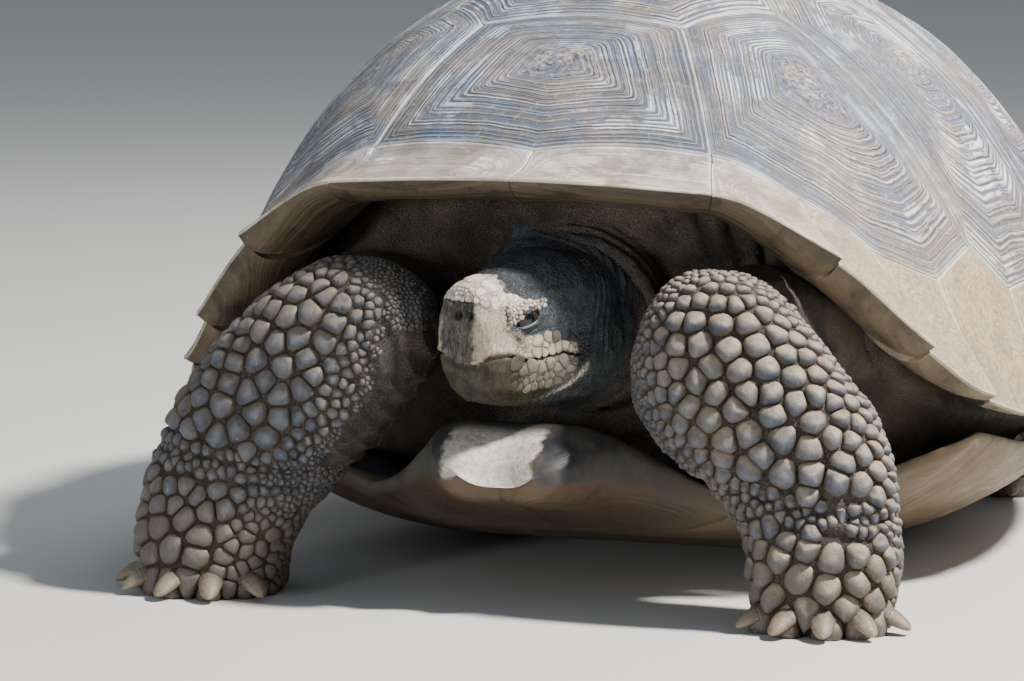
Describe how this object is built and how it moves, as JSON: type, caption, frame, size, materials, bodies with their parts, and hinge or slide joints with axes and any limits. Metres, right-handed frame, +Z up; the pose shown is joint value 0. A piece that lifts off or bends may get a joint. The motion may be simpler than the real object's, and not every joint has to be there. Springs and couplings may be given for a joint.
{
  "type": "giant tortoise figure",
  "caption": "Life-size giant tortoise, domed shell of ringed plates, crouched on its belly with forelegs bent and head half drawn in, turned to its right.",
  "frame": {"origin": "on the flat underside of the belly plate, straight under the crown of the shell", "axes": "the animal faces -Y, its left side is +X, +Z is up"},
  "size_m": [0.882, 1.1683, 0.5965],
  "materials": {
    "shell": "dry horn, dusty grey-brown with worn pale ridges",
    "belly_plate": "smooth worn horn, grey-tan",
    "skin": "dry, folded, with horny scales",
    "eye": "wet and dark"
  },
  "bodies": {
    "root": {"vertebral_1": "shell", "vertebral_2": "shell", "vertebral_3": "shell", "vertebral_4": "shell", "vertebral_5": "shell", "costal_left_1": "shell", "costal_left_2": "shell", "costal_left_3": "shell", "costal_left_4": "shell", "costal_right_1": "shell", "costal_right_2": "shell", "costal_right_3": "shell", "costal_right_4": "shell", "marginal_left_1": "shell", "marginal_left_2": "shell", "marginal_left_3": "shell", "marginal_left_4": "shell", "marginal_left_5": "shell", "marginal_left_6": "shell", "marginal_left_7": "shell", "marginal_left_8": "shell", "marginal_left_9": "shell", "marginal_left_10": "shell", "marginal_left_11": "shell", "marginal_right_1": "shell", "marginal_right_2": "shell", "marginal_right_3": "shell", "marginal_right_4": "shell", "marginal_right_5": "shell", "marginal_right_6": "shell", "marginal_right_7": "shell", "marginal_right_8": "shell", "marginal_right_9": "shell", "marginal_right_10": "shell", "marginal_right_11": "shell", "supracaudal": "shell", "plastron": "belly_plate", "trunk": "skin", "neck": "skin", "head": "skin", "lower_jaw": "skin", "foreleg_left": "skin", "foreleg_right": "skin", "hindleg_left": "skin", "hindleg_right": "skin", "tail": "skin", "eye_left": "eye", "eye_right": "eye"}
  },
  "joints": []
}
